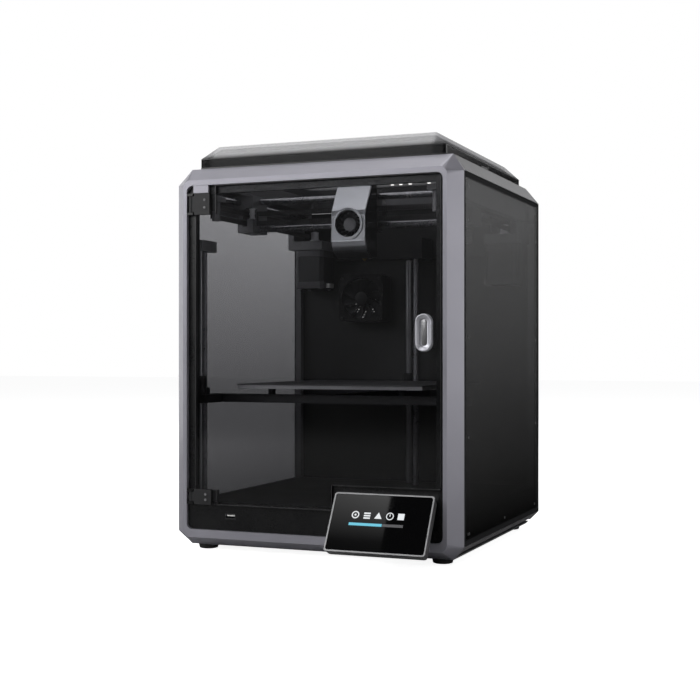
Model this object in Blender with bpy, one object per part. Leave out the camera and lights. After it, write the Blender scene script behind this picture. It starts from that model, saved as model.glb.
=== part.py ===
"""Enclosed CoreXY fdm printer.

Units: every dimension below is in millimetres, and MM turns it into metres when a mesh is made.
Axes: +Z up, +X to the right seen from the front, +Y to the back. The cabinet's front plane is at
FRONT and its rear at BACK. The whole model hangs on one empty, which moves it along Y by
ORIGIN_SHIFT, so that the world origin is under the middle of the overall box.
"""
from math import cos, pi, radians, sin

import bmesh
import bpy
from mathutils import Matrix, Vector

MM = 0.001

# Cabinet
HALF = 177.5                 # half the width and half the depth
FRONT, BACK = -HALF, HALF
BODY_LOW, BODY_HIGH = 5.7, 451.8
SIDE_LOW, SIDE_HIGH = 21.3, 432.1    # the side faces, between the lower and upper chamfers
CAP_HALF = 163.0             # half width of the flat top and flat bottom
CAP_BACK = 166.3             # rear edge of the flat top and flat bottom
CAP_FRONT = -154.6           # where the bezel ends and the cabinet starts
WALL = 3.2
GAP = 0.3                    # between pieces that touch
REAR_MOST = 180.0            # rear face of the mains inlet's flange
SCREEN_Y = -220.0            # lower front edge of the touch screen
ORIGIN_SHIFT = -(REAR_MOST + SCREEN_Y) / 2

# Door opening and bezel
RIDGE_HALF, RIDGE_LOW, RIDGE_HIGH = 162.8, 16.8, 435.7
MOUTH_HALF, MOUTH_LOW, MOUTH_HIGH = 158.0, 26.0, 429.5
FLOOR_HIGH = 55.0            # upper face of the chamber floor
GLASS_FRONT, GLASS_BACK = -176.6, -172.6
GLASS_LEFT, GLASS_RIGHT = -147.0, 156.3
GLASS_LOW, GLASS_HIGH = 55.3, 429.2
HINGE_X, HINGE_Y = -152.8, -175.3
HINGES = ((395.1, 420.3), (55.5, 73.3))      # low and high ends of the upper and lower hinge
HANDLE_X, HANDLE_Z = 137.5, 255.0

# Touch screen
SCREEN_X, SCREEN_Z = 93.5, 18.2
SCREEN_W, SCREEN_H, SCREEN_T = 116.4, 69.7, 12.0
SCREEN_TILT = radians(30.6)

# Gantry
ROD_R = 4.0
GANTRY_Y = -35.0
X_ROD_HEIGHTS = (390.0, 425.0)
Y_ROD_X, Y_ROD_Z = 153.0, 423.0
BELT_HEIGHTS = (397.0, 409.0)
BELT_X = 144.0
JOINT_INNER = 132.5
MOTOR_X, MOTOR_Y, MOTOR_HALF = 137.6, 150.0, 21.0
PULLEY_R = 6.2

# Toolhead
HEAD_X, HEAD_HALF = 11.5, 21.5
HEAD_FAN_Z = 387.0
NOZZLE_Y = -36.0

# Bed and its three lead screws, each as (name, screw x, screw y, rod x, rod y, top of screw)
COLUMNS = (
    ("front_left", -161.2, -129.0, -157.8, -145.5, 366.0),
    ("front_right", 161.2, -129.0, 157.8, -145.5, 366.0),
    ("rear", 20.0, 130.0, 3.0, 150.0, 386.0),
)
SCREW_LOW = 28.0
BED_HALF_X, BED_FRONT, BED_BACK = 118.0, -127.0, 108.0
BED_TOP = 195.8
ARM_LOW, ARM_HIGH = 173.0, 183.0

# Rear wall
FAN_X, FAN_Z, FAN_HALF = -64.0, 309.0, 32.5
INLET_X, INLET_Z, SWITCH_X = 125.0, 37.0, 97.0

COLOURS = {                  # colour, roughness, metallic
    "bezel_metal": ((0.31, 0.30, 0.34), 0.4, 0.7),
    "dark_plastic": ((0.04, 0.04, 0.045), 0.5, 0.0),
    "black_panel": ((0.012, 0.012, 0.014), 0.25, 0.0),
    "smoked_glass": ((0.03, 0.03, 0.035), 0.05, 0.0),
    "rubber": ((0.02, 0.02, 0.02), 0.8, 0.0),
    "steel": ((0.55, 0.55, 0.57), 0.25, 1.0),
    "aluminium": ((0.5, 0.51, 0.55), 0.35, 1.0),
    "belt": ((0.02, 0.02, 0.02), 0.7, 0.0),
    "bed_sheet": ((0.08, 0.08, 0.08), 0.7, 0.2),
}


# ---------------------------------------------------------------- scene and materials

def start_scene():
    """Empties the file and makes the two collections and the empty that carries the model."""
    for old in list(bpy.data.objects):
        bpy.data.objects.remove(old, do_unlink=True)
    for name in ("fdm_printer", "cutters"):
        bpy.context.scene.collection.children.link(bpy.data.collections.new(name))
    carrier = bpy.data.objects.new("carrier", None)
    carrier.location.y = ORIGIN_SHIFT * MM
    bpy.data.collections["fdm_printer"].objects.link(carrier)


def material(slot, name):
    """The Principled material of one sub-part."""
    colour, roughness, metallic = COLOURS[slot]
    made = bpy.data.materials.new(name + "_" + slot)
    made.use_nodes = True
    shader = made.node_tree.nodes["Principled BSDF"]
    shader.inputs["Base Color"].default_value = (*colour, 1)
    shader.inputs["Roughness"].default_value = roughness
    shader.inputs["Metallic"].default_value = metallic
    return made


# ---------------------------------------------------------------- shapes, each a bmesh filler

def block(low, high):
    """A box between two corners."""
    def fill(bm):
        low_v, high_v = Vector(low), Vector(high)
        made = bmesh.ops.create_cube(bm, size=1)["verts"]
        bmesh.ops.scale(bm, vec=high_v - low_v, verts=made)
        bmesh.ops.translate(bm, vec=(low_v + high_v) / 2, verts=made)
    return fill


def rod(start, end, radius, sides=16, end_radius=None):
    """A cylinder or cone between two points."""
    def fill(bm):
        run = Vector(end) - Vector(start)
        turn = Vector((0, 0, 1)).rotation_difference(run).to_matrix().to_4x4()
        middle = Matrix.Translation((Vector(start) + Vector(end)) / 2)
        last = radius if end_radius is None else end_radius
        bmesh.ops.create_cone(bm, cap_ends=True, segments=sides, radius1=radius, radius2=last,
                              depth=run.length, matrix=middle @ turn)
    return fill


def hull(points):
    """The convex body round some points."""
    def fill(bm):
        own = bmesh.new()
        corners = [own.verts.new(point) for point in points]
        made = bmesh.ops.convex_hull(own, input=corners)
        spare = {item for key in ("geom_interior", "geom_unused") for item in made[key]
                 if isinstance(item, bmesh.types.BMVert)}
        bmesh.ops.delete(own, geom=list(spare), context="VERTS")
        bmesh.ops.dissolve_limit(own, angle_limit=radians(0.2), verts=own.verts, edges=own.edges)
        bmesh.ops.recalc_face_normals(own, faces=own.faces)
        mesh = bpy.data.meshes.new("hull")
        own.to_mesh(mesh)
        own.free()
        bm.from_mesh(mesh)
        bpy.data.meshes.remove(mesh)
    return fill


def rounded(centre_u, centre_v, half_u, half_v, radius, steps=4):
    """The outline of a rectangle with round corners, as (u, v) pairs."""
    outline = []
    for quarter, (side_u, side_v) in enumerate(((1, 1), (-1, 1), (-1, -1), (1, -1))):
        for step in range(steps + 1):
            angle = (quarter + step / steps) * pi / 2
            outline.append((centre_u + side_u * (half_u - radius) + radius * cos(angle),
                            centre_v + side_v * (half_v - radius) + radius * sin(angle)))
    return outline


def along_y(outline, y_low, y_high):
    """An (x, z) outline carried from one y to another."""
    return hull([(x, y, z) for y in (y_low, y_high) for x, z in outline])


def along_z(outline, z_low, z_high):
    """An (x, y) outline carried from one z to another."""
    return hull([(x, y, z) for z in (z_low, z_high) for x, y in outline])


def along_x(outline, x_low, x_high):
    """A (y, z) outline carried from one x to another."""
    return hull([(x, y, z) for x in (x_low, x_high) for y, z in outline])


def turned_about_x(shape, pivot, angle):
    """The same shape, turned about a line along X through a pivot."""
    def fill(bm):
        before = set(bm.verts)
        shape(bm)
        made = [vert for vert in bm.verts if vert not in before]
        bmesh.ops.rotate(bm, cent=pivot, matrix=Matrix.Rotation(angle, 3, "X"), verts=made)
    return fill


def turned_about_y(shape, pivot, angle):
    """The same shape, turned about a line along Y through a pivot."""
    def fill(bm):
        before = set(bm.verts)
        shape(bm)
        made = [vert for vert in bm.verts if vert not in before]
        bmesh.ops.rotate(bm, cent=pivot, matrix=Matrix.Rotation(angle, 3, "Y"), verts=made)
    return fill


def side_block(side, low, high):
    """A box given for the right-hand side, or its twin on the left when side is -1."""
    if side > 0:
        return block(low, high)
    return block((-high[0], low[1], low[2]), (-low[0], high[1], high[2]))


def mesh_of(shapes, name, origin):
    """One mesh, in metres about its origin, with every shape in it."""
    bm = bmesh.new()
    for shape in shapes:
        shape(bm)
    bmesh.ops.translate(bm, vec=-Vector(origin), verts=bm.verts)
    bmesh.ops.scale(bm, vec=(MM, MM, MM), verts=bm.verts)
    mesh = bpy.data.meshes.new(name)
    bm.to_mesh(mesh)
    bm.free()
    return mesh


def place(name, mesh, origin, collection):
    """An object on the carrier, with its origin where its joint axis or its place is."""
    made = bpy.data.objects.new(name, mesh)
    made.location = Vector(origin) * MM
    made.parent = bpy.data.objects["carrier"]
    bpy.data.collections[collection].objects.link(made)
    return made


def boolean(target, shapes, operation, origin):
    """Unites the target with the shapes, or cuts them out of it."""
    name = target.name + "_" + operation.lower()
    tool = place(name, mesh_of(shapes, name, origin), origin, "cutters")
    tool.hide_render = True
    tool.display_type = "WIRE"
    step = target.modifiers.new(operation.lower(), "BOOLEAN")
    step.operation = operation
    step.object = tool
    step.use_self = len(shapes) > 1


def part(name, slot, shapes, joined=(), cuts=(), origin=(0, 0, 0)):
    """One sub-part: its shapes, united with the joined ones, less the cuts."""
    mesh = mesh_of(shapes, name, origin)
    mesh.materials.append(material(slot, name))
    mesh.shade_smooth()
    mesh.set_sharp_from_angle(angle=radians(35))
    made = place(name, mesh, origin, "fdm_printer")
    if joined:
        boolean(made, joined, "UNION", origin)
    if cuts:
        boolean(made, cuts, "DIFFERENCE", origin)
    return made


# ---------------------------------------------------------------- cabinet

def front_bezel():
    """The painted metal surround of the door, with a chamfer on each side."""
    ridge = rounded(0, (RIDGE_LOW + RIDGE_HIGH) / 2, RIDGE_HALF, (RIDGE_HIGH - RIDGE_LOW) / 2, 9)
    points = [(x, FRONT, z) for x, z in ridge]
    for side in (-1, 1):
        for z in (SIDE_LOW, SIDE_HIGH):
            points.append((side * HALF, FRONT + 15.65, z))
            points.append((side * HALF, CAP_FRONT, z))
        for z in (BODY_LOW, BODY_HIGH):
            points.append((side * CAP_HALF, CAP_FRONT, z))
    mouth = rounded(0, (MOUTH_LOW + MOUTH_HIGH) / 2, MOUTH_HALF, (MOUTH_HIGH - MOUTH_LOW) / 2, 7)
    tab = block((-149.4, FRONT + 0.7, 420.6), (-129.7, -172.6, 430.5))
    seats = [side_block(side, (HALF - WALL - 0.4, FRONT + 15.65, SIDE_LOW),
                        (HALF + 1, CAP_FRONT + 1, SIDE_HIGH)) for side in (-1, 1)]
    bezel = part("front_bezel", "bezel_metal", [hull(points)],
                 cuts=[along_y(mouth, FRONT - 1, CAP_FRONT + 1)] + seats)
    boolean(bezel, [tab], "UNION", (0, 0, 0))


def base_tray():
    """The moulded base: a chamfered tray that holds the electronics under the floor."""
    rim_high = FLOOR_HIGH - 3.5
    foot = hull([(side * x, y, z) for side in (-1, 1)
                 for x, y_back, z in ((CAP_HALF, CAP_BACK, BODY_LOW), (HALF, BACK, SIDE_LOW))
                 for y in (CAP_FRONT + GAP, y_back)])
    walls = block((-173.8, CAP_FRONT + GAP, SIDE_LOW - 1), (173.8, 174.0, rim_high))
    cavity = block((-170.5, -150.5, 9.0), (170.5, 170.0, rim_high + 1))
    inlet_hole = block((INLET_X - 13.5, 165, INLET_Z - 10.5), (INLET_X + 13.5, 180, INLET_Z + 10.5))
    switch_hole = block((SWITCH_X - 8, 165, INLET_Z - 10), (SWITCH_X + 8, 180, INLET_Z + 10))
    part("base_tray", "dark_plastic", [foot], joined=[walls],
         cuts=[cavity, inlet_hole, switch_hole])


def feet():
    """Four rubber feet."""
    for row, y in (("front", -143), ("rear", 147)):
        for side, x in (("left", -147), ("right", 147)):
            part(f"foot_{row}_{side}", "rubber",
                 [rod((x, y, 0), (x, y, BODY_LOW - GAP), 10.5, 20, 12)])


def top_frame():
    """The chamfered top ring that the lid rests on."""
    ring = hull([(side * x, y, z) for side in (-1, 1)
                 for x, y_back, z in ((HALF, BACK, SIDE_HIGH + GAP), (CAP_HALF, CAP_BACK, BODY_HIGH))
                 for y in (CAP_FRONT + GAP, y_back)])
    opening = along_z(rounded(0, 7, 145, 153, 8), SIDE_HIGH - 1, BODY_HIGH + 1)
    part("top_frame", "bezel_metal", [ring], cuts=[opening])


def side_panels():
    """The two flat side walls."""
    for name, side in (("left_side_panel", -1), ("right_side_panel", 1)):
        near, far = sorted((side * (HALF - WALL), side * HALF))
        part(name, "smoked_glass" if side < 0 else "black_panel",
             [block((near, FRONT + 16, SIDE_LOW + GAP), (far, 174.0, SIDE_HIGH - GAP))])


def rear_panel():
    """The rear wall, with the fan's slots, the mains inlet's hole and the switch's hole."""
    slots = [block((FAN_X - 25, 170, FAN_Z + step * 8 - 2.5), (FAN_X + 25, 180, FAN_Z + step * 8 + 2.5))
             for step in range(-3, 4)]
    slots.append(block((INLET_X - 13.5, 170, INLET_Z - 10.5), (INLET_X + 13.5, 180, INLET_Z + 10.5)))
    slots.append(block((SWITCH_X - 8, 170, INLET_Z - 10), (SWITCH_X + 8, 180, INLET_Z + 10)))
    part("rear_panel", "black_panel",
         [block((-HALF, BACK - WALL, SIDE_LOW + GAP), (HALF, BACK, SIDE_HIGH - GAP))], cuts=slots)


def chamber_floor():
    """The floor of the build chamber, with a hole for each lead screw."""
    holes = [rod((x, y, 40), (x, y, 60), 6.0) for _, x, y, _, _, _ in COLUMNS]
    part("chamber_floor", "black_panel",
         [block((-173.6, CAP_FRONT + 0.6, FLOOR_HIGH - 3.2), (173.6, 174.0, FLOOR_HIGH))],
         cuts=holes)


def mouth_outline(upper):
    """The upper or lower half of the outline that fits inside the bezel's mouth."""
    middle = (MOUTH_LOW + MOUTH_HIGH) / 2
    full = rounded(0, middle, MOUTH_HALF - GAP, (MOUTH_HIGH - MOUTH_LOW) / 2 - GAP, 6.8)
    return [(x, z) for x, z in full if (z > middle) == upper]


def front_inner_frame():
    """The black frame behind the door glass, with the hinges' lugs and the chamber light."""
    outline = mouth_outline(True) + [(-157.7, GLASS_LOW), (157.7, GLASS_LOW)]
    outer = along_y(outline, -172.0, -164.0)
    window = block((-148, -175, 58.5), (149, -160, 420))
    lugs = []
    pins = []
    for low, high in HINGES:
        for lug_low, lug_high in ((low, low + 3.0), (high - 3.0, high)):
            lugs.append(block((-157.6, -177.9, lug_low), (-149.8, -171.0, lug_high)))
        pins.append(rod((HINGE_X, HINGE_Y, low - 5), (HINGE_X, HINGE_Y, high + 5), 1.8, 12))
    made = part("front_inner_frame", "black_panel", [outer], joined=lugs, cuts=[window] + pins)
    boolean(made, [block((60, -165, 421), (146, -158, 427))], "UNION", (0, 0, 0))


def screen_point(across, up, deep):
    """A point of the touch screen: across its face, up its face and into it."""
    return (SCREEN_X + across,
            SCREEN_Y + up * sin(SCREEN_TILT) + deep * cos(SCREEN_TILT),
            SCREEN_Z + up * cos(SCREEN_TILT) - deep * sin(SCREEN_TILT))


def screen_slab(inset, deep_low, deep_high, taper=0.0, radius=3.0):
    """A round-cornered slab in the screen's own plane."""
    points = []
    for deep, extra in ((deep_low, 0.0), (deep_high, taper)):
        margin = inset + extra
        for across, up in rounded(0, SCREEN_H / 2, SCREEN_W / 2 - margin, SCREEN_H / 2 - margin,
                                  radius, 3):
            points.append(screen_point(across, up, deep))
    return hull(points)


def front_fascia():
    """The gloss strip under the door, its raised pad behind the screen and the screen's arm."""
    outline = mouth_outline(False) + [(-157.7, FLOOR_HIGH), (157.7, FLOOR_HIGH)]
    strip = along_y(outline, -174.0, -170.0)
    pad = block((28, -174.0, 50), (157.7, -172.4, 83.5))
    arm_points = [screen_point(across, up, 12.3) for across in (-24, 24) for up in (10, 56)]
    arm_points += [(SCREEN_X + across, -173.5, z) for across in (-24, 24) for z in (29, 66)]
    socket = block((-111, -172, 38), (-94, -158, 47.6))
    usb_hole = block((-109.4, -180, 39.5), (-95.5, -159.5, 46.0))
    part("front_fascia", "black_panel", [strip], joined=[pad, hull(arm_points), socket],
         cuts=[usb_hole])


def touch_screen():
    """The tilted touch screen: a thin housing and the glass in its pocket."""
    part("screen_housing", "aluminium", [screen_slab(0, 0, SCREEN_T, taper=0.8)],
         cuts=[screen_slab(1.6, -1, 1.6, radius=2.4)])
    part("screen_glass", "smoked_glass", [screen_slab(1.9, 0.2, 1.3, radius=2.1)])


# ---------------------------------------------------------------- door and lid

def door():
    """The glass door, its two hinge leaves and its pull."""
    pivot = (HINGE_X, HINGE_Y, 0)
    sheet = rounded((GLASS_LEFT + GLASS_RIGHT) / 2, (GLASS_LOW + GLASS_HIGH) / 2,
                    (GLASS_RIGHT - GLASS_LEFT) / 2, (GLASS_HIGH - GLASS_LOW) / 2, 5)
    notches = [block((-160, -180, HINGES[0][0] - GAP), (-127.7, -170, 440)),
               block((-160, -180, 40), (-125.6, -170, HINGES[1][1] + GAP)),
               block((27.5, -180, 40), (170, -170, 84.0))]
    part("door_glass", "smoked_glass", [along_y(sheet, GLASS_FRONT, GLASS_BACK)], cuts=notches,
         origin=pivot)
    for name, (low, high), right in zip(("upper", "lower"), HINGES, (-128.0, -125.9)):
        pin_low, pin_high = low + 3.5, high - 3.5
        shapes = [block((-146, GLASS_BACK + GAP, low + 4), (right + 7, -170.3, high - 1)),
                  rod((HINGE_X, HINGE_Y, pin_low), (HINGE_X, HINGE_Y, pin_high), 2.6, 12),
                  block((HINGE_X, HINGE_Y - 1.8, pin_low), (-147, HINGE_Y + 1.8, pin_high)),
                  rod((HINGE_X, HINGE_Y, low + 0.5), (HINGE_X, HINGE_Y, high - 0.5), 1.5, 12)]
        part("door_hinge_" + name, "dark_plastic",
             [block((-148.5, -177.2, low), (right, GLASS_BACK + 0.4, high))], joined=shapes,
             origin=pivot)
    face = GLASS_FRONT - 7.0
    grip = hull([(x, y, z) for y, inset in ((face, 1.2), (face + 1.5, 0), (GLASS_FRONT - GAP, 0))
                 for x, z in rounded(HANDLE_X, HANDLE_Z, 9.4 - inset, 20.6 - inset, 9.2 - inset, 5)])
    bowl = hull([(x, y, z) for y, inset in ((face - 1, 2.0), (face + 4.6, 5.6))
                 for x, z in rounded(HANDLE_X, HANDLE_Z, 9.4 - inset, 20.6 - inset, 9.1 - inset, 5)])
    part("door_handle", "aluminium", [grip], cuts=[bowl], origin=pivot)


def lid_shape(inset, low, high):
    """The lid's outline: upright walls, then a bevel all round up to the flat top."""
    shoulder, slope = 464.4, 15.4
    points = []
    for z, extra in ((low, 0.0), (shoulder - inset * 0.4, 0.0), (high, slope - inset * 0.45)):
        margin = inset + extra
        points += [(x, y, z) for x, y in rounded(0, 9.1, 153.1 - margin, 161.6 - margin, 3, 2)]
    return hull(points)


def lid():
    """The clear lid, a shell open underneath."""
    part("lid_cover", "smoked_glass", [lid_shape(0, BODY_HIGH + GAP, 480.0)],
         cuts=[lid_shape(3.0, BODY_HIGH - 1, 477.0)])


# ---------------------------------------------------------------- gantry

def side_frames():
    """Each side's posts, beam, rod holders, motor bracket, idler shelf and column bracket."""
    low, high = 404.0, SIDE_HIGH - 0.4
    for name, side in (("left", -1), ("right", 1)):
        shapes = [
            ((166, CAP_FRONT + 0.6, FLOOR_HIGH + GAP), (174.0, -144.5, high)),   # front post
            ((166, 164.5, FLOOR_HIGH + GAP), (174.0, 174.0, high)),              # rear post
            ((147, -144.7, 414), (161, -133, high)),                             # rod holders
            ((147, 152, 414), (161, 160.5, high)),
            ((166, -145, low), (173.5, -120, high)),                             # gussets
            ((166, 140, low), (173.5, 165, high)),
            ((116.6, 127, 376.9), (163.8, 171, 389.1)),                          # motor bracket
            ((159.5, 127, 377), (168, 164, 406)),
            ((150, -145, 355), (173.6, -118, 368)),                              # column bracket
            ((150, -154, 355), (167, -143, 368)),
            ((132, -154, 414), (150, -129, 420)),                                # idler shelf
        ]
        holes = [rod((side * Y_ROD_X, -140, Y_ROD_Z), (side * Y_ROD_X, 170, Y_ROD_Z), ROD_R + GAP),
                 rod((side * MOTOR_X, MOTOR_Y, 370), (side * MOTOR_X, MOTOR_Y, 395), 11.5, 20)]
        for x, y in ((side * 157.8, -145.5), (side * 161.2, -129.0)):
            holes.append(rod((x, y, 340), (x, y, 366.5), ROD_R + GAP))
        part("side_frame_" + name, "dark_plastic",
             [side_block(side, (160, -145, low), (170, 165, high))],
             joined=[side_block(side, *corners) for corners in shapes]
             + [rod((side * 139, -140, 391), (side * 139, -140, 415), PULLEY_R - 1.2, 16)],
             cuts=holes)


def smooth_rods():
    """The two rods that the gantry runs on and the three that guide the bed."""
    for name, x in (("left", -Y_ROD_X), ("right", Y_ROD_X)):
        part("y_rod_" + name, "steel", [rod((x, -139.6, Y_ROD_Z), (x, 160.3, Y_ROD_Z), ROD_R)])
    for name, _, _, x, y, top in COLUMNS:
        part("z_rod_" + name, "steel", [rod((x, y, FLOOR_HIGH + GAP), (x, y, top), ROD_R)])


def motor(x, y, low, high):
    """A square stepper motor with cut corners."""
    cut = 4.0
    outline = [(x + u * (MOTOR_HALF - a), y + v * (MOTOR_HALF - b)) for u in (-1, 1)
               for v in (-1, 1) for a, b in ((0, cut), (cut, 0))]
    return along_z(outline, low, high)


def gantry_motors():
    """The two motors at the rear corners, each with a round boss that centres it."""
    for name, x in (("left", -MOTOR_X), ("right", MOTOR_X)):
        part("gantry_motor_" + name, "dark_plastic", [motor(x, MOTOR_Y, 323, 376.6)],
             joined=[rod((x, MOTOR_Y, 376), (x, MOTOR_Y, 378.6), 11, 20)])


def pulleys_and_idlers():
    """The wheel on each gantry motor and the idler on each end of the gantry."""
    for name, side in (("left", -1), ("right", 1)):
        x = side * MOTOR_X
        part("drive_pulley_" + name, "aluminium", [rod((x, MOTOR_Y, 379), (x, MOTOR_Y, 404), 2.5, 12)],
             joined=[rod((x, MOTOR_Y, 392), (x, MOTOR_Y, 403), PULLEY_R - 0.6, 20),
                     rod((x, MOTOR_Y, 390.5), (x, MOTOR_Y, 392.2), PULLEY_R + 1, 20)],
             origin=(x, MOTOR_Y, 0))
        x = side * 136.6
        part("gantry_idler_" + name, "steel",
             [rod((x, -48.5, 402.6), (x, -48.5, 415.4), 4.0, 16)], origin=(x, -48.5, 0))


def side_belts():
    """The straight runs of both belts along each side, tied together at their ends."""
    for name, side in (("left", -1), ("right", 1)):
        inner, outer = BELT_X + 0.4, BELT_X + 1.8
        runs = [side_block(side, (inner, -142, z - 3), (outer, 150, z + 3)) for z in BELT_HEIGHTS]
        ties = [side_block(side, (inner, y, BELT_HEIGHTS[0]), (outer, y + 2, BELT_HEIGHTS[1]))
                for y in (-142, 148)]
        part("side_belt_" + name, "belt", runs[:1], joined=runs[1:] + ties)


def gantry():
    """The two end blocks that run along the sides, the X rods and the belt runs between them."""
    for name, side in (("left", -1), ("right", 1)):
        collar = side_block(side, (150, -55, 412), (159.5, -14, 431.8))
        bore_x = side * Y_ROD_X
        cuts = [rod((bore_x, -60, Y_ROD_Z), (bore_x, -10, Y_ROD_Z), ROD_R + GAP),
                side_block(side, (140.8, -60, 392.5), (147.2, -10, 413.5)),
                side_block(side, (JOINT_INNER - 2, -60, 402), (142, -42, 416))]
        part("xy_joint_" + name, "dark_plastic",
             [side_block(side, (JOINT_INNER, -55, 385), (154, -14, 431.8))], joined=[collar],
             cuts=cuts)
    reach = JOINT_INNER - GAP
    for name, z in zip(("lower", "upper"), X_ROD_HEIGHTS):
        part("x_rod_" + name, "steel", [rod((-reach, GANTRY_Y, z), (reach, GANTRY_Y, z), ROD_R)])
    runs = [block((-reach, -44.7, z - 3), (reach, -43.3, z + 3)) for z in BELT_HEIGHTS]
    ties = [side_block(side, (reach - 2, -44.7, BELT_HEIGHTS[0]), (reach, -43.3, BELT_HEIGHTS[1]))
            for side in (-1, 1)]
    part("gantry_belts", "belt", runs[:1], joined=runs[1:] + ties)


def head_profile(inset):
    """The toolhead seen from its side, as (y, z) pairs."""
    return [(-67 + inset, 440 - inset), (-84 + inset, 411), (-88.8 + inset, 403),
            (-90 + inset, 397), (-90 + inset, 366), (-88 + inset, 360), (-82 + inset, 353 + inset),
            (-70, 347 + inset), (-49, 347 + inset), (-49, 440 - inset)]


def toolhead():
    """The carriage on the X rods, the metal front cover, the black shroud and the hot end."""
    left, right = HEAD_X - HEAD_HALF, HEAD_X + HEAD_HALF
    rods = [rod((-50, GANTRY_Y, z), (50, GANTRY_Y, z), ROD_R + GAP) for z in X_ROD_HEIGHTS]
    belts = block((-50, -46, 393), (50, -42, 413.5))
    part("head_carriage", "dark_plastic",
         [block((left + 3, -48.7, 383), (right - 3, -24, 433))],
         joined=[rod((HEAD_X, -25, 413), (HEAD_X, -4, 413), 17.5, 20)], cuts=rods + [belts])
    ring = rod((HEAD_X, -91.6, HEAD_FAN_Z), (HEAD_X, -87, HEAD_FAN_Z), 19.0, 32)
    eye = rod((HEAD_X, -95, HEAD_FAN_Z), (HEAD_X, -75, HEAD_FAN_Z), 16.2, 32)
    inner = along_x(head_profile(2.4), left - 1, right + 1)
    behind = block((left - 1, -66, 340), (right + 1, -40, 445))
    part("head_cover", "aluminium", [along_x(head_profile(0), left, right)], joined=[ring],
         cuts=[eye, inner, behind])
    part("head_shroud", "black_panel", [along_x(head_profile(2.7), left + 0.6, right - 0.6)],
         cuts=[eye])
    low = NOZZLE_Y
    part("hot_end", "aluminium", [block((HEAD_X - 8, low - 11, 354), (HEAD_X + 8, low + 9, 366))],
         joined=[rod((HEAD_X, low, 365), (HEAD_X, low, 371), 3.5, 12),
                 rod((HEAD_X, low, 370), (HEAD_X, low, 382.6), 10.5, 16),
                 rod((HEAD_X, low, 350), (HEAD_X, low, 355), 4.0, 12),
                 rod((HEAD_X, low, 346), (HEAD_X, low, 350.4), 1.0, 12, 4.0)])


def rotor(name, centre, y_low, y_high, hub, tip, blades, slot):
    """A fan rotor about Y: a hub and pitched blades."""
    x, z = centre
    shapes = []
    for index in range(blades):
        half = (y_high - y_low) / 2 - 0.8
        middle = (y_low + y_high) / 2
        points = []
        for radius in (hub - 1.5, tip):
            chord = 2.6 + radius * 0.16
            for lean, y in ((-1, middle - half), (1, middle + half)):
                for thick in (-0.5, 0.5):
                    points.append((x + lean * chord + thick, y, z + radius))
        shapes.append(turned_about_y(hull(points), (x, 0, z), index * 2 * pi / blades))
    part(name, slot, [rod((x, y_low, z), (x, y_high, z), hub, 20)], joined=shapes,
         origin=(x, (y_low + y_high) / 2, z))


# ---------------------------------------------------------------- bed

def bed():
    """The print surface, its heater plate, and the carriage with its bearings, nuts and pillars."""
    part("build_plate", "bed_sheet", [block((-BED_HALF_X, BED_FRONT, BED_TOP - 1.2),
                                            (BED_HALF_X, BED_BACK, BED_TOP))])
    part("heated_bed", "aluminium", [block((-BED_HALF_X + 1, BED_FRONT + 1, 190.3),
                                           (BED_HALF_X - 1, BED_BACK - 1, BED_TOP - 1.5))])
    joined = [block((147, -153, ARM_LOW), (165.5, -92, ARM_HIGH)),
              block((-165.5, -153, ARM_LOW), (-147, -92, ARM_HIGH)),
              block((-10, -93, ARM_LOW), (30, 160, ARM_HIGH))]
    joined += [rod((x, y, ARM_HIGH - 1), (x, y, 190.0), 4.5, 16)
               for x, y in ((-84, -100), (84, -100), (10, 90))]
    holes = []
    for _, screw_x, screw_y, rod_x, rod_y, _ in COLUMNS:
        for x, y, radius, top in ((screw_x, screw_y, 7.0, 191), (rod_x, rod_y, 7.5, 205.5)):
            joined.append(rod((x, y, ARM_HIGH - 1), (x, y, top), radius, 16))
            holes.append(rod((x, y, ARM_LOW - 5), (x, y, top + 5), ROD_R + 0.4))
    part("bed_carriage", "dark_plastic", [block((-150, -108, ARM_LOW), (150, -92, ARM_HIGH))],
         joined=joined, cuts=holes)


def columns():
    """The three lead screws, each with the belt wheel at its foot."""
    for name, x, y, _, _, top in COLUMNS:
        part("leadscrew_" + name, "steel", [rod((x, y, SCREW_LOW), (x, y, top), ROD_R)],
             joined=[rod((x, y, 31), (x, y, 39), PULLEY_R, 20)], origin=(x, y, 0))


def z_drive():
    """The motor under the floor, its wheel and the belt round the three screws."""
    x, y = 60.0, -129.0
    part("z_motor", "dark_plastic", [motor(x, y, 9.3, 27.5)])
    part("z_motor_pulley", "aluminium", [rod((x, y, 28), (x, y, 40), 2.5, 12)],
         joined=[rod((x, y, 31), (x, y, 39), PULLEY_R, 20)], origin=(x, y, 0))
    outlines = []
    for radius in (PULLEY_R + GAP, PULLEY_R + 1.6):
        ring = [(px + radius * cos(step * pi / 8), py + radius * sin(step * pi / 8))
                for _, px, py, _, _, _ in COLUMNS for step in range(16)]
        outlines.append(ring)
    part("z_belt", "belt", [along_z(outlines[1], 32, 38)], cuts=[along_z(outlines[0], 30, 40)])


# ---------------------------------------------------------------- rear wall and electronics

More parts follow.
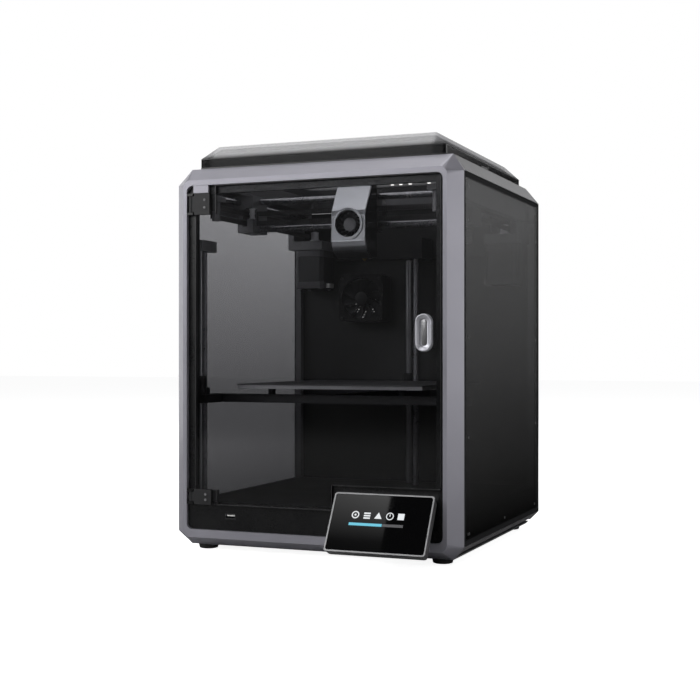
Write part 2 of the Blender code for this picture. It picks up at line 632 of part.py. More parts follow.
def exhaust_fan():
    """The chamber's exhaust fan: a frame with a round throat, struts, and its rotor."""
    frame = along_y(rounded(FAN_X, FAN_Z, FAN_HALF, FAN_HALF, 6), 140, 174.0)
    throat = rod((FAN_X, 130, FAN_Z), (FAN_X, 180, FAN_Z), 28.5, 32)
    made = part("exhaust_fan_frame", "dark_plastic", [frame], cuts=[throat])
    struts = [rod((FAN_X, 166, FAN_Z), (FAN_X, 171, FAN_Z), 10, 20)]
    for angle in (0.4, 0.4 + pi / 2):
        bar = block((FAN_X - 30, 167, FAN_Z - 1.5), (FAN_X + 30, 170, FAN_Z + 1.5))
        struts.append(turned_about_y(bar, (FAN_X, 0, FAN_Z), angle))
    boolean(made, struts, "UNION", (0, 0, 0))
    rotor("exhaust_fan_rotor", (FAN_X, FAN_Z), 142, 158, 9.5, 26.5, 9, "dark_plastic")


def rear_duct_cover():
    """The raised band across the top of the rear wall, and the rear column's top bracket."""
    _, screw_x, screw_y, rod_x, rod_y, _ = COLUMNS[2]
    holes = [rod((x, y, 350), (x, y, 387), ROD_R + GAP)
             for x, y in ((screw_x, screw_y), (rod_x, rod_y))]
    part("rear_duct_cover", "dark_plastic", [block((-114, 165, 363.7), (114, 174.0, 431.7))],
         joined=[block((-8, 120, 360), (32, 172.0, 388))], cuts=holes)


def mains():
    """The mains inlet and the rocker switch at the back."""
    socket = block((INLET_X - 13, 166, INLET_Z - 10), (INLET_X + 13, 178, INLET_Z + 10))
    flange = along_y(rounded(INLET_X, INLET_Z, 18, 14, 4), BACK + GAP, REAR_MOST)
    recess = block((INLET_X - 11, 168, INLET_Z - 8), (INLET_X + 11, 185, INLET_Z + 8))
    part("power_inlet", "dark_plastic", [socket], joined=[flange], cuts=[recess])
    pivot = (SWITCH_X, 175.0, INLET_Z)
    rocker = block((SWITCH_X - 7, 172.6, INLET_Z - 9), (SWITCH_X + 7, 177.4, INLET_Z + 9))
    part("power_switch", "dark_plastic", [turned_about_x(rocker, pivot, radians(-8))], origin=pivot)


def electronics():
    """What lies in the tray: the power supply and the main board on one mounting sheet."""
    part("electronics", "aluminium", [block((-152, -62, 9.3), (130, 114, 10.8))],
         joined=[block((-150, -60, 10), (-40, 62, 29)),
                 block((20, 20, 10), (128, 112, 14.6)),
                 block((50, 50, 14), (66, 66, 18.5)),
                 block((84, 40, 14), (120, 60, 24)),
                 block((36, 84, 14), (110, 92, 25))])


def main():
    start_scene()
    for build in (front_bezel, base_tray, feet, top_frame, side_panels, rear_panel, chamber_floor,
                  front_inner_frame, front_fascia, touch_screen, door, lid, side_frames,
                  smooth_rods, gantry_motors, pulleys_and_idlers, side_belts, gantry, toolhead,
                  bed, columns, z_drive, exhaust_fan, rear_duct_cover, mains, electronics):
        build()
    rotor("head_fan_rotor", (HEAD_X, HEAD_FAN_Z), -86, -77, 8.4, 14.2, 9, "dark_plastic")


main()
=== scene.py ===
"""Looks of the enclosed fdm printer: materials, fine pieces, studio light and camera.

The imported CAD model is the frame. Every length here is in millimetres in the CAD row frame
unless a name says otherwise; MM turns it into metres when a mesh is made.
"""
from math import cos, pi, radians, sin

import bmesh
import bpy
from mathutils import Matrix, Vector


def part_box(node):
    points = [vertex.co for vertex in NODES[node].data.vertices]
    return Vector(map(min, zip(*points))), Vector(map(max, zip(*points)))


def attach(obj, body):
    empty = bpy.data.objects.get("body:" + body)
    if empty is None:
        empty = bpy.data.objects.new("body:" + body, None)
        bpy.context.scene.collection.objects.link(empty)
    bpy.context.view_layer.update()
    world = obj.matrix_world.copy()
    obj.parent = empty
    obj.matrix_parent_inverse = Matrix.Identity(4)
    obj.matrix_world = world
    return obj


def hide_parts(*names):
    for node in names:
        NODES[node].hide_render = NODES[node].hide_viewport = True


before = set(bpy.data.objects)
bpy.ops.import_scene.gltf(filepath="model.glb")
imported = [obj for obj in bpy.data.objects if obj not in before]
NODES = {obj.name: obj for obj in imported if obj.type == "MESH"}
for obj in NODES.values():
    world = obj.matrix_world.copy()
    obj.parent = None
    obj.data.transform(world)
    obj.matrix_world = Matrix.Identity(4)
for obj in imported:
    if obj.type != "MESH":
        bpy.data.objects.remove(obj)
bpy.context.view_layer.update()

MM = 0.001

PIECE_CREASE, CAD_CREASE = 35, 32    # degrees; edges sharper than this are rounded
USUAL_EDGE = 0.3                     # bevel width of a CAD solid that EDGE doesn't list


def box(node):
    """A CAD node's lowest and highest corner, in millimetres."""
    low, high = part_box(node)
    return low / MM, high / MM


def plan_centre(low, high):
    """The middle of a box seen from above, as (x, y)."""
    return (low.x + high.x) / 2, (low.y + high.y) / 2


def front_centre(low, high):
    """The middle of a box seen from the front, as (x, z)."""
    return (low.x + high.x) / 2, (low.z + high.z) / 2


# -------- shapes, each a bmesh filler

def block(low, high):
    """A box between two corners."""
    def fill(bm):
        low_v, high_v = Vector(low), Vector(high)
        made = bmesh.ops.create_cube(bm, size=1)["verts"]
        bmesh.ops.scale(bm, vec=high_v - low_v, verts=made)
        bmesh.ops.translate(bm, vec=(low_v + high_v) / 2, verts=made)
    return fill


def rod(start, end, radius, sides):
    """A cylinder between two points."""
    def fill(bm):
        run = Vector(end) - Vector(start)
        turn = Vector((0, 0, 1)).rotation_difference(run).to_matrix().to_4x4()
        at = Matrix.Translation((Vector(start) + Vector(end)) / 2)
        bmesh.ops.create_cone(bm, cap_ends=True, segments=sides, radius1=radius,
                              radius2=radius, depth=run.length, matrix=at @ turn)
    return fill


def loft(loops, closed=False):
    """A skin through loops of equally many points, capped or joined end to end."""
    def fill(bm):
        rings = [[bm.verts.new(point) for point in loop] for loop in loops]
        pairs = list(zip(rings, rings[1:]))
        if closed:
            pairs.append((rings[-1], rings[0]))
        for lower, upper in pairs:
            for i in range(len(lower)):
                j = (i + 1) % len(lower)
                bm.faces.new((lower[i], lower[j], upper[j], upper[i]))
        if not closed:
            bm.faces.new(list(reversed(rings[0])))
            bm.faces.new(rings[-1])
    return fill


def turned(profile, start, axis, sides, closed=False):
    """A profile of (distance along the axis, radius) pairs turned about the axis."""
    lie = Vector((0, 0, 1)).rotation_difference(Vector(axis)).to_matrix()
    turns = [2 * pi * i / sides for i in range(sides)]
    return loft([[Vector(start) + lie @ Vector((radius * cos(turn), radius * sin(turn), along))
                  for turn in turns] for along, radius in profile], closed)


def rounded(centre_u, centre_v, half_u, half_v, radius, steps):
    """The outline of a rectangle with round corners, as (u, v) pairs."""
    outline = []
    for quarter, (side_u, side_v) in enumerate(((1, 1), (-1, 1), (-1, -1), (1, -1))):
        for step in range(steps + 1):
            angle = (quarter + step / steps) * pi / 2
            outline.append((centre_u + side_u * (half_u - radius) + radius * cos(angle),
                            centre_v + side_v * (half_v - radius) + radius * sin(angle)))
    return outline


def along_z(outline, z_low, z_high):
    """An (x, y) outline carried from one z to another."""
    return loft([[(x, y, z) for x, y in outline] for z in (z_low, z_high)])


def mapped(shape, matrix):
    """A shape moved by a matrix."""
    def fill(bm):
        before = set(bm.verts)
        shape(bm)
        made = [vert for vert in bm.verts if vert not in before]
        bmesh.ops.transform(bm, matrix=matrix, verts=made)
    return fill


def mesh_of(shapes, name):
    """One mesh, in metres, with every shape in it."""
    bm = bmesh.new()
    for shape in shapes:
        shape(bm)
    bmesh.ops.scale(bm, vec=(MM, MM, MM), verts=bm.verts)
    bmesh.ops.recalc_face_normals(bm, faces=bm.faces)
    mesh = bpy.data.meshes.new(name)
    bm.to_mesh(mesh)
    bm.free()
    return mesh


def rounded_edges(obj, width, angle, harden):
    """A two-step bevel on the edges sharper than an angle, with the faces shaded smooth."""
    if width:
        step = obj.modifiers.new("edges", "BEVEL")
        step.width = width * MM
        step.segments = 2
        step.limit_method = "ANGLE"
        step.angle_limit = radians(angle)
        step.harden_normals = harden
        step.use_clamp_overlap = True
    obj.data.shade_smooth()
    obj.data.set_sharp_from_angle(angle=radians(angle))


def linked(name, data):
    """A new object of the scene with this mesh, light or camera."""
    obj = bpy.data.objects.new(name, data)
    bpy.context.scene.collection.objects.link(obj)
    return obj


def piece(name, body, shapes, finish, bevel=0.0, stands_for=()):
    """A visible piece that rides on a CAD body."""
    obj = linked(name, mesh_of(shapes, name))
    obj.data.materials.append(finish)
    rounded_edges(obj, bevel, PIECE_CREASE, True)
    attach(obj, body)
    if stands_for:
        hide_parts(*stands_for)


# -------- materials

def blank(name):
    """An empty node material and its node tree."""
    made = bpy.data.materials.new(name)
    made.use_nodes = True
    tree = made.node_tree
    tree.nodes.clear()
    return made, tree


def add(tree, kind, **inputs):
    """A shader node with its sockets set by name; spaces are written as underscores."""
    node = tree.nodes.new(kind)
    for key, value in inputs.items():
        node.inputs[key.replace("_", " ")].default_value = value
    return node


def output(tree, shader, kind="Material"):
    """Wires a shader to the tree's output."""
    out = tree.nodes.new("ShaderNodeOutput" + kind)
    tree.links.new(shader.outputs[0], out.inputs["Surface"])


def mixed(tree, factor, first, second):
    """A mix of two shaders; the factor is a socket or a number."""
    node = tree.nodes.new("ShaderNodeMixShader")
    if isinstance(factor, float):
        node.inputs[0].default_value = factor
    else:
        tree.links.new(factor, node.inputs[0])
    tree.links.new(first.outputs[0], node.inputs[1])
    tree.links.new(second.outputs[0], node.inputs[2])
    return node


def maths(tree, kind, *values):
    """A Math node's result; each value is a socket or a number."""
    node = tree.nodes.new("ShaderNodeMath")
    node.operation = kind
    for socket, value in zip(node.inputs, values):
        if isinstance(value, float):
            socket.default_value = value
        else:
            tree.links.new(value, socket)
    return node.outputs[0]


def axes(tree):
    """The object-space position, split into X, Y and Z in metres."""
    coords = tree.nodes.new("ShaderNodeTexCoord")
    split = tree.nodes.new("ShaderNodeSeparateXYZ")
    tree.links.new(coords.outputs["Object"], split.inputs[0])
    return split.outputs


def place_coords(tree, stretch=(1, 1, 1)):
    """Object-space coordinates in metres, stretched."""
    coords = tree.nodes.new("ShaderNodeTexCoord")
    scale = add(tree, "ShaderNodeMapping", Scale=stretch)
    tree.links.new(coords.outputs["Object"], scale.inputs["Vector"])
    return scale.outputs["Vector"]


def ranged(tree, source, low, high, from_low=0.3, from_high=0.7):
    """A value mapped from one range to another."""
    node = add(tree, "ShaderNodeMapRange", From_Min=from_low, From_Max=from_high,
               To_Min=low, To_Max=high)
    tree.links.new(source, node.inputs["Value"])
    return node.outputs["Result"]


def tinted(tree, factor, first, second):
    """A colour between two."""
    node = tree.nodes.new("ShaderNodeMix")
    node.data_type = "RGBA"
    node.inputs[6].default_value = (*first, 1)
    node.inputs[7].default_value = (*second, 1)
    tree.links.new(factor, node.inputs[0])
    return node.outputs[2]


def product(tree, first, second):
    """Two colours multiplied."""
    node = tree.nodes.new("ShaderNodeMix")
    node.data_type, node.blend_type = "RGBA", "MULTIPLY"
    node.inputs[0].default_value = 1.0
    tree.links.new(first, node.inputs[6])
    tree.links.new(second, node.inputs[7])
    return node.outputs[2]


def shaded(tree, paint, painted_light_steps):
    """A colour times a grey that follows the height."""
    # The grey ramp is painted light and shade laid onto the colour by height.
    bottom, top = painted_light_steps[0][0], painted_light_steps[-1][0]
    ramp = tree.nodes.new("ShaderNodeValToRGB")
    stops = ramp.color_ramp.elements
    for index, (height, factor) in enumerate(painted_light_steps):
        place = (height - bottom) / (top - bottom)
        stop = stops[index] if index < 2 else stops.new(place)
        stop.position = place
        stop.color = (factor, factor, factor, 1)
    rise = ranged(tree, axes(tree)["Z"], 0, 1, bottom * MM, top * MM)
    tree.links.new(rise, ramp.inputs["Fac"])
    return product(tree, paint, ramp.outputs["Color"])


BLOTCHES = 18.0              # noise scale of a surface's soft blotches
BUMP_DEEP = 0.0004           # metres, the bump's height at strength 1


def surface(name, colour, rough, vary, metal=0.0, grain=900.0, bump=0.06,
            stretch=(1, 1, 1), rough_vary=0.06, specular=0.5, painted_light_steps=()):
    """A moulded, painted or metal surface: grain, soft blotches and a fine bump.

    vary is how far the blotches lighten and darken the colour, grain is the fine noise's
    scale and stretch its stretch, and the last argument lists (height in mm, factor) of
    painted light and shade: how the colour's brightness goes with height.
    """
    made, tree = blank(name)
    link = tree.links.new
    shader = add(tree, "ShaderNodeBsdfPrincipled", Metallic=metal, Specular_IOR_Level=specular)
    where = place_coords(tree, stretch)
    fine = add(tree, "ShaderNodeTexNoise", Scale=grain, Detail=3.0)
    broad = add(tree, "ShaderNodeTexNoise", Scale=BLOTCHES, Detail=4.0, Roughness=0.6)
    link(where, fine.inputs["Vector"])
    link(place_coords(tree), broad.inputs["Vector"])
    darker = [channel * (1 - vary) for channel in colour]
    lighter = [min(1.0, channel * (1 + vary)) for channel in colour]
    paint = tinted(tree, ranged(tree, broad.outputs["Fac"], 0, 1), darker, lighter)
    # Painted light and shade: the colour brightened and darkened by height.
    if painted_light_steps:
        paint = shaded(tree, paint, painted_light_steps)
    link(paint, shader.inputs["Base Color"])
    swing = rough_vary / 2
    link(maths(tree, "ADD", ranged(tree, fine.outputs["Fac"], -swing, swing),
               ranged(tree, broad.outputs["Fac"], rough - swing, rough + swing)),
         shader.inputs["Roughness"])
    height = add(tree, "ShaderNodeBump", Strength=bump, Distance=BUMP_DEEP)
    link(fine.outputs["Fac"], height.inputs["Height"])
    link(height.outputs["Normal"], shader.inputs["Normal"])
    output(tree, shader)
    return made


def facing_mix(tree, strength):
    """A reflection factor that grows towards grazing angles on both sides of a sheet."""
    head_on, power = 0.04, 5.0
    facing = add(tree, "ShaderNodeLayerWeight", Blend=0.5)
    steep = maths(tree, "POWER", facing.outputs["Facing"], power)
    return ranged(tree, steep, head_on * strength, strength, 0.0, 1.0)


BAND_WIDE = 6.0              # the dark band along a smoked sheet's edges


def upright_span(node):
    """A CAD sheet's extent along Y and along Z."""
    low, high = box(node)
    return ((low.y, high.y), (low.z, high.z))


def border_mask(tree, place, span, width):
    """One inside a band along the edges of an upright sheet in Y and Z, nought elsewhere."""
    reach = []
    for axis, (low, high) in zip("YZ", span):
        from_middle = maths(tree, "ABSOLUTE",
                            maths(tree, "SUBTRACT", place[axis], (low + high) / 2 * MM))
        reach.append(maths(tree, "SUBTRACT", from_middle, ((high - low) / 2 - width) * MM))
    return maths(tree, "GREATER_THAN", maths(tree, "MAXIMUM", *reach), 0.0)


def smoked(name, upper, lower, z_low, z_high, rough=0.02, reflect=1.0, shell_low=0.02,
           shell_high=0.02, haze=0.0, border=None, tint_span=None, painted_side_shade=None):
    """A tinted clear sheet whose tint and own colour go from one grey to another up it.

    Both change between z_low and z_high, or the tint over tint_span instead. upper and
    lower tint what is seen through it; shell_low and shell_high are its own grey, and haze
    is that grey's share. border is a sheet's extent, for a dark band along its edges.
    The last argument is painted shade on the flanks: (x where its grey starts to darken,
    x where it ends, factor there).
    """
    made, tree = blank(name)
    link = tree.links.new
    place = axes(tree)
    height = ranged(tree, place["Z"], 0, 1, z_low * MM, z_high * MM)
    rise = height
    if tint_span:
        rise = ranged(tree, place["Z"], 0, 1, tint_span[0] * MM, tint_span[1] * MM)
    clear = tree.nodes.new("ShaderNodeBsdfTransparent")
    link(tinted(tree, rise, lower, upper), clear.inputs["Color"])
    wave = add(tree, "ShaderNodeTexNoise", Scale=9.0, Detail=2.0)
    link(place_coords(tree), wave.inputs["Vector"])
    gloss = add(tree, "ShaderNodeBsdfGlossy", Color=(1, 1, 1, 1))
    link(ranged(tree, wave.outputs["Fac"], rough, rough + 0.03), gloss.inputs["Roughness"])
    own_colour = tinted(tree, height, (shell_low,) * 3, (shell_high,) * 3)
    # Painted shade: the sheet's own grey darkens toward both sides.
    if painted_side_shade:
        side = ranged(tree, maths(tree, "ABSOLUTE", place["X"]), 0, 1,
                      painted_side_shade[0] * MM, painted_side_shade[1] * MM)
        own_colour = product(tree, own_colour, tinted(tree, side, (1, 1, 1), (painted_side_shade[2],) * 3))
    shell = tree.nodes.new("ShaderNodeBsdfDiffuse")
    link(own_colour, shell.inputs["Color"])
    sheet = mixed(tree, haze, clear, shell)
    if border:
        band = add(tree, "ShaderNodeBsdfDiffuse", Color=(0.02, 0.02, 0.021, 1))
        sheet = mixed(tree, border_mask(tree, place, border, BAND_WIDE), sheet, band)
    output(tree, mixed(tree, facing_mix(tree, reflect), sheet, gloss))
    return made


def glowing(name, colour, strength, base=(0.02, 0.02, 0.02)):
    """A lit graphic or lamp with a faint mottling."""
    made, tree = blank(name)
    link = tree.links.new
    shader = add(tree, "ShaderNodeBsdfPrincipled", Roughness=0.3,
                 Emission_Color=(*colour, 1), Emission_Strength=strength)
    noise = add(tree, "ShaderNodeTexNoise", Scale=700.0)
    link(place_coords(tree), noise.inputs["Vector"])
    link(tinted(tree, noise.outputs["Fac"], base, [c * 1.2 for c in base]),
         shader.inputs["Base Color"])
    output(tree, shader)
    return made


def belt_surface(name):
    """Black toothed belt: ribs across the belt, a little over 2 mm apart."""
    made, tree = blank(name)
    link = tree.links.new
    shader = add(tree, "ShaderNodeBsdfPrincipled", Roughness=0.55)
    wave = add(tree, "ShaderNodeTexWave", Scale=1.0, Distortion=0.0)
    wave.bands_direction = "DIAGONAL"
    link(place_coords(tree, (270, 270, 0)), wave.inputs["Vector"])
    link(tinted(tree, wave.outputs["Fac"], (0.012, 0.012, 0.012), (0.05, 0.05, 0.052)),
         shader.inputs["Base Color"])
    height = add(tree, "ShaderNodeBump", Strength=0.5, Distance=0.0005)
    link(wave.outputs["Fac"], height.inputs["Height"])
    link(height.outputs["Normal"], shader.inputs["Normal"])
    output(tree, shader)
    return made


PANEL_LOW, PANEL_HIGH = box("left_side_panel")[0].z, box("left_side_panel")[1].z

BEZEL = surface("bezel_paint", (0.27, 0.265, 0.30), 0.36, metal=0.4, vary=0.04, grain=2600,
                bump=0.05)
# A darker copy of the bezel's paint: painted shade on the top band.
TOP_METAL_SHADED = surface("top_frame_paint_shaded", (0.105, 0.105, 0.11), 0.42, metal=0.6, vary=0.05,
                    grain=2600, bump=0.05)
DARK = surface("dark_moulding", (0.016, 0.016, 0.017), 0.5, vary=0.14, grain=1500, bump=0.14,
               specular=0.25)
FRAME_DARK = surface("frame_moulding", (0.15, 0.15, 0.157), 0.48, vary=0.12, grain=1500,
                     bump=0.12)
FASCIA = surface("black_fascia", (0.005, 0.005, 0.0055), 0.28, vary=0.15, grain=1700,
                 bump=0.04)
FAN_BLACK = surface("fan_black", (0.003, 0.003, 0.0032), 0.36, vary=0.15, grain=1700,
                    bump=0.04, specular=0.3)
BLACK = surface("black_moulding", (0.012, 0.012, 0.013), 0.42, vary=0.15, grain=1700,
                bump=0.1)
SHEET = surface("black_sheet_metal", (0.008, 0.008, 0.0085), 0.5, vary=0.12, grain=2200,
                bump=0.08)
SCREEN_GLASS = surface("screen_glass", (0.001, 0.001, 0.0012), 0.03, vary=0.1, grain=300,
                       bump=0.0, rough_vary=0.02, specular=0.2)
GLOSS = surface("black_gloss", (0.006, 0.006, 0.007), 0.1, vary=0.1, grain=300, bump=0.0,
                rough_vary=0.03)
STEEL = surface("ground_steel", (0.46, 0.46, 0.48), 0.26, metal=1.0, vary=0.05, grain=700,
                stretch=(1, 1, 6), bump=0.03)
SCREW = surface("lead_screw_steel", (0.42, 0.42, 0.44), 0.3, metal=1.0, vary=0.08, bump=0.03)
# Painted light and shade on the head cover: dark below, a painted highlight line at the lower
# bend, mid grey round the fan, a painted highlight on the slope.
COVER_PAINTED_LIGHT = ((345, 0.04), (355, 0.14), (359.5, 0.5), (362, 0.95), (364.5, 0.9), (368, 0.4),
                (392, 0.44), (399, 0.85), (402, 1.0), (440, 0.72))
SILVER_PAINTED_LIGHT = surface("silver_cover_painted_light", (0.92, 0.94, 1.0), 0.36, metal=0.9, vary=0.04, grain=2600,
                 bump=0.04, painted_light_steps=COVER_PAINTED_LIGHT)
HANDLE_METAL = surface("anodised_pull", (0.5, 0.5, 0.54), 0.34, metal=0.6, vary=0.04,
                       grain=2200, stretch=(1, 1, 0.15), bump=0.03)
RIM_METAL = surface("screen_rim", (0.26, 0.26, 0.265), 0.36, metal=0.8, vary=0.05, grain=2400,
                    bump=0.03)
PULLEY_METAL = surface("pulley_metal", (0.75, 0.75, 0.77), 0.36, metal=0.45, vary=0.05,
                       grain=1500)
# Ground steel made darker: painted shade, used on the upright rods and the pull's recess floor.
SHADED_STEEL = surface("steel_painted_shade", (0.34, 0.34, 0.35), 0.31, metal=1.0, vary=0.05,
                       grain=700, stretch=(1, 1, 6), bump=0.03)
MOTOR_BODY = surface("motor_lamination", (0.03, 0.03, 0.032), 0.42, metal=0.3, vary=0.15,
                     stretch=(1, 1, 9), grain=260, bump=0.2)
MOTOR_CAP = surface("motor_cap", (0.09, 0.09, 0.094), 0.4, metal=0.5, vary=0.1)
RUBBER = surface("foot_rubber", (0.02, 0.02, 0.02), 0.75, vary=0.2, grain=900, bump=0.3)
BED_SHEET = surface("print_sheet", (0.05, 0.05, 0.052), 0.6, vary=0.12, grain=3000, bump=0.5)
BED_METAL = surface("bed_aluminium", (0.4, 0.4, 0.41), 0.35, metal=0.9, vary=0.07,
                    stretch=(1, 8, 1))
BRASS = surface("brass", (0.62, 0.45, 0.19), 0.3, metal=1.0, vary=0.1)
WHITE_PLASTIC = surface("white_moulding", (0.7, 0.7, 0.68), 0.5, vary=0.04)
BELT = belt_surface("toothed_belt")
LAMP = glowing("lamp", (1.0, 0.98, 0.94), 2.2, (0.6, 0.6, 0.58))
UI_WHITE = glowing("screen_white", (0.9, 0.93, 0.95), 0.85)
UI_BLUE = glowing("screen_blue", (0.12, 0.55, 0.72), 0.95)
UI_DIM = glowing("screen_dim", (0.06, 0.06, 0.065), 0.8)
DOOR_GLASS = smoked("door_glass", (0.88, 0.88, 0.89), (0.86, 0.86, 0.87), 55, 430)
# The lid's own grey darkens toward its sides: painted shade on the side slopes.
LID_PLASTIC_SIDE_SHADED = smoked("lid_plastic_painted_side_shade", (0.86, 0.86, 0.87), (0.14, 0.14, 0.145), 463, 468,
                     rough=0.2, shell_low=0.06, shell_high=0.52, haze=0.36,
                     tint_span=(463, 470), reflect=0.16, painted_side_shade=(136, 141, 0.2))
# Painted light: the side walls' own grey and their see-through tint grow brighter up the wall,
# standing in for the light on their upper part.
PANEL_PLASTIC_PAINTED_LIGHT = smoked("panel_plastic_painted_light", (0.80, 0.80, 0.81), (0.20, 0.20, 0.205),
                       PANEL_LOW, PANEL_HIGH, rough=0.16, shell_low=0.001, shell_high=0.36,
                       haze=0.3, reflect=0.12, border=upright_span("right_side_panel"))


# -------- the carried-over CAD solids

PAINT = {
    BEZEL: ("front_bezel",),
    TOP_METAL_SHADED: ("top_frame",),
    DARK: ("door_hinge_upper", "door_hinge_lower", "bed_carriage", "rear_duct_cover"),
    FRAME_DARK: ("base_tray", "side_frame_left", "side_frame_right", "xy_joint_left",
                 "xy_joint_right"),
    FASCIA: ("front_inner_frame", "front_fascia"),
    FAN_BLACK: ("exhaust_fan_frame",),
    BLACK: ("head_carriage", "power_inlet", "power_switch"),
    GLOSS: ("head_shroud",),
    SCREEN_GLASS: ("screen_glass",),
    SHEET: ("rear_panel", "chamber_floor"),
    DOOR_GLASS: ("door_glass",),
    LID_PLASTIC_SIDE_SHADED: ("lid_cover",),
    STEEL: ("y_rod_left", "y_rod_right", "x_rod_lower", "x_rod_upper", "z_rod_front_left",
            "z_rod_front_right", "z_rod_rear"),
    SCREW: ("leadscrew_front_left", "leadscrew_front_right", "leadscrew_rear", "gantry_idler_left",
            "gantry_idler_right"),
    SILVER_PAINTED_LIGHT: ("head_cover",),
    RIM_METAL: ("screen_housing",),
    HANDLE_METAL: ("door_handle",),
    MOTOR_BODY: ("gantry_motor_left", "gantry_motor_right", "z_motor"),
    BED_SHEET: ("build_plate",),
    BED_METAL: ("heated_bed", "electronics", "drive_pulley_left", "drive_pulley_right",
                "z_motor_pulley"),
    BRASS: ("hot_end",),
    BELT: ("side_belt_left", "side_belt_right", "gantry_belts", "z_belt"),
    RUBBER: ("foot_front_left", "foot_front_right", "foot_rear_left", "foot_rear_right",
             "exhaust_fan_rotor", "head_fan_rotor"),
}
# Bevel widths of the solids' edges.
EDGE = {"front_bezel": 2.4, "rear_panel": 2.4, "top_frame": 1.0, "base_tray": 1.0,
        "head_cover": 1.2, "screen_housing": 0.7, "lid_cover": 0.8, "door_glass": 0.4,
        "build_plate": 0.2}
for paint, names in PAINT.items():
    for node_name in names:
        cad = NODES[node_name]
        cad.data.materials.clear()
        cad.data.materials.append(paint)
        rounded_edges(cad, EDGE.get(node_name, USUAL_EDGE), CAD_CREASE, False)


# -------- detail shapes

def screw_head(at, axis, radius, height):
    """A button-head screw with a round socket, standing on a face."""
    sink = height * 0.35
    return turned([(0, radius), (height * 0.45, radius), (height * 0.85, radius * 0.86),
                   (height, radius * 0.6), (height, radius * 0.44), (sink, radius * 0.4)],
                  at, axis, 20)


def stadium(centre_u, centre_v, half_u, half_v):
    """An upright oblong outline with fully round ends."""
    return rounded(centre_u, centre_v, half_u, half_v, half_u - 0.001, 8)


def oblong_rings(x, z, half_x, half_z, face, profile):
    """Upright oblong loops behind a face, one for each (inset, depth) of a profile."""
    return [[(u, face + deep, v) for u, v in stadium(x, z, half_x - inset, half_z - inset)]
            for inset, deep in profile]


def toothed(x, y, radius, teeth, deep):
    """A toothed wheel's outline: two points on each tooth and two in each gap."""
    outline, points = [], teeth * 4
    for k in range(points):
        reach, turn = radius - (0.0 if k % 4 in (0, 1) else deep), 2 * pi * k / points
        outline.append((x + reach * cos(turn), y + reach * sin(turn)))
    return outline


def thread(x, y, z_low, z_high):
    """A right-handed screw with several starts, as a skin through wavy rings."""
    crest, depth, lead, starts = 4.0, 0.7, 8.0, 4
    sides, step = 16, 0.5
    rings = []
    for row in range(int((z_high - z_low) / step) + 1):
        z = z_low + row * step
        ring = []
        for side in range(sides):
            turn = side / sides
            phase = 2 * pi * starts * (z / lead - turn)
            radius = crest - depth * (0.5 - 0.5 * cos(phase))
            ring.append((x + radius * cos(2 * pi * turn), y + radius * sin(2 * pi * turn), z))
        rings.append(ring)
    return loft(rings)


def fan_blade(centre, y_front, y_back, turn, root, tip, width, sweep, thick=0.9, steps=6):
    """One swept blade of a fan that turns about Y.

    Angles are in radians: turn is the blade's place, width its angle at the hub and at
    the tip, and sweep how far the tip runs ahead of the hub.
    """
    x, z = centre
    loops = []
    for step in range(steps + 1):
        part = step / steps
        radius = root + (tip - root) * part
        centre_line = turn + sweep * part ** 1.4
        half = (width[0] + (width[1] - width[0]) * part) / 2
        lead, trail = centre_line - half, centre_line + half
        loops.append([(x + radius * sin(angle), y, z + radius * cos(angle)) for angle, y in (
            (lead, y_front), (trail, y_back), (trail, y_back + thick), (lead, y_front + thick))])
    return loft(loops)


def hex_sheet(x_span, z_span, y_low, y_high, pitch, hole):
    """A perforated sheet, built as the webs between staggered six-sided holes."""
    def fill(bm):
        x_low, x_high = x_span
        z_low, z_high = z_span
        rise = pitch * 3 ** 0.5 / 2
        outer = pitch / 3 ** 0.5
        corners = {}

        def corner(x, z, y):
            key = (round(x, 4), round(z, 4), y)
            if key not in corners:
                corners[key] = bm.verts.new((x, y, z))
            return corners[key]

        row, z = 0, z_low + rise / 2
        while z < z_high:
            x = x_low + (pitch if row % 2 else pitch / 2)
            while x < x_high - pitch / 4:
                for k in range(6):
                    a, b = (k + 0.5) * pi / 3, (k + 1.5) * pi / 3
                    spots = [(x + reach * cos(angle), z + reach * sin(angle))
                             for reach, angle in ((hole, a), (hole, b), (outer, b), (outer, a))]
                    front = [corner(u, v, y_low) for u, v in spots]
                    back = [corner(u, v, y_high) for u, v in spots]
                    bm.faces.new(front)
                    bm.faces.new(list(reversed(back)))
                    bm.faces.new((front[1], front[0], back[0], back[1]))
                x += pitch
            row += 1
            z += rise
    return fill


# -------- screen

TILT = radians(30.6)         # the screen leans back by this much
housing_low, housing_high = box("screen_housing")
SCREEN_WIDE = housing_high.x - housing_low.x
SCREEN_MID = (housing_high.x + housing_low.x) / 2
SCREEN_TALL = 69.7           # measured along the tilted face
SCREEN_FOOT = (housing_low.y, housing_high.z - SCREEN_TALL * cos(TILT))
FACE_DEEP = 0.2              # the glass lies this far behind the rim
DECAL_LIFTS = (0.02, 0.09)   # a graphic's back and front over the glass


def on_screen(across, down, lift):
    """A point of the screen by its shares across and down, and its height over the glass."""
    up = SCREEN_TALL * (1 - down)
    deep = FACE_DEEP - lift
    return (SCREEN_MID + (across - 0.5) * SCREEN_WIDE,
            SCREEN_FOOT[0] + up * sin(TILT) + deep * cos(TILT),
            SCREEN_FOOT[1] + up * cos(TILT) - deep * sin(TILT))


def decal(outline):
    """A thin lit shape on the screen from its outline in shares across and down."""
    return loft([[on_screen(u, v, lift) for u, v in outline] for lift in DECAL_LIFTS])


def even_sided(across, down, sides, radius, turn=0.0):
    """A regular shape's outline in shares of the screen; its radius is in millimetres."""
    return [(across + radius * cos(turn + 2 * pi * k / sides) / SCREEN_WIDE,
             down + radius * sin(turn + 2 * pi * k / sides) / SCREEN_TALL) for k in range(sides)]


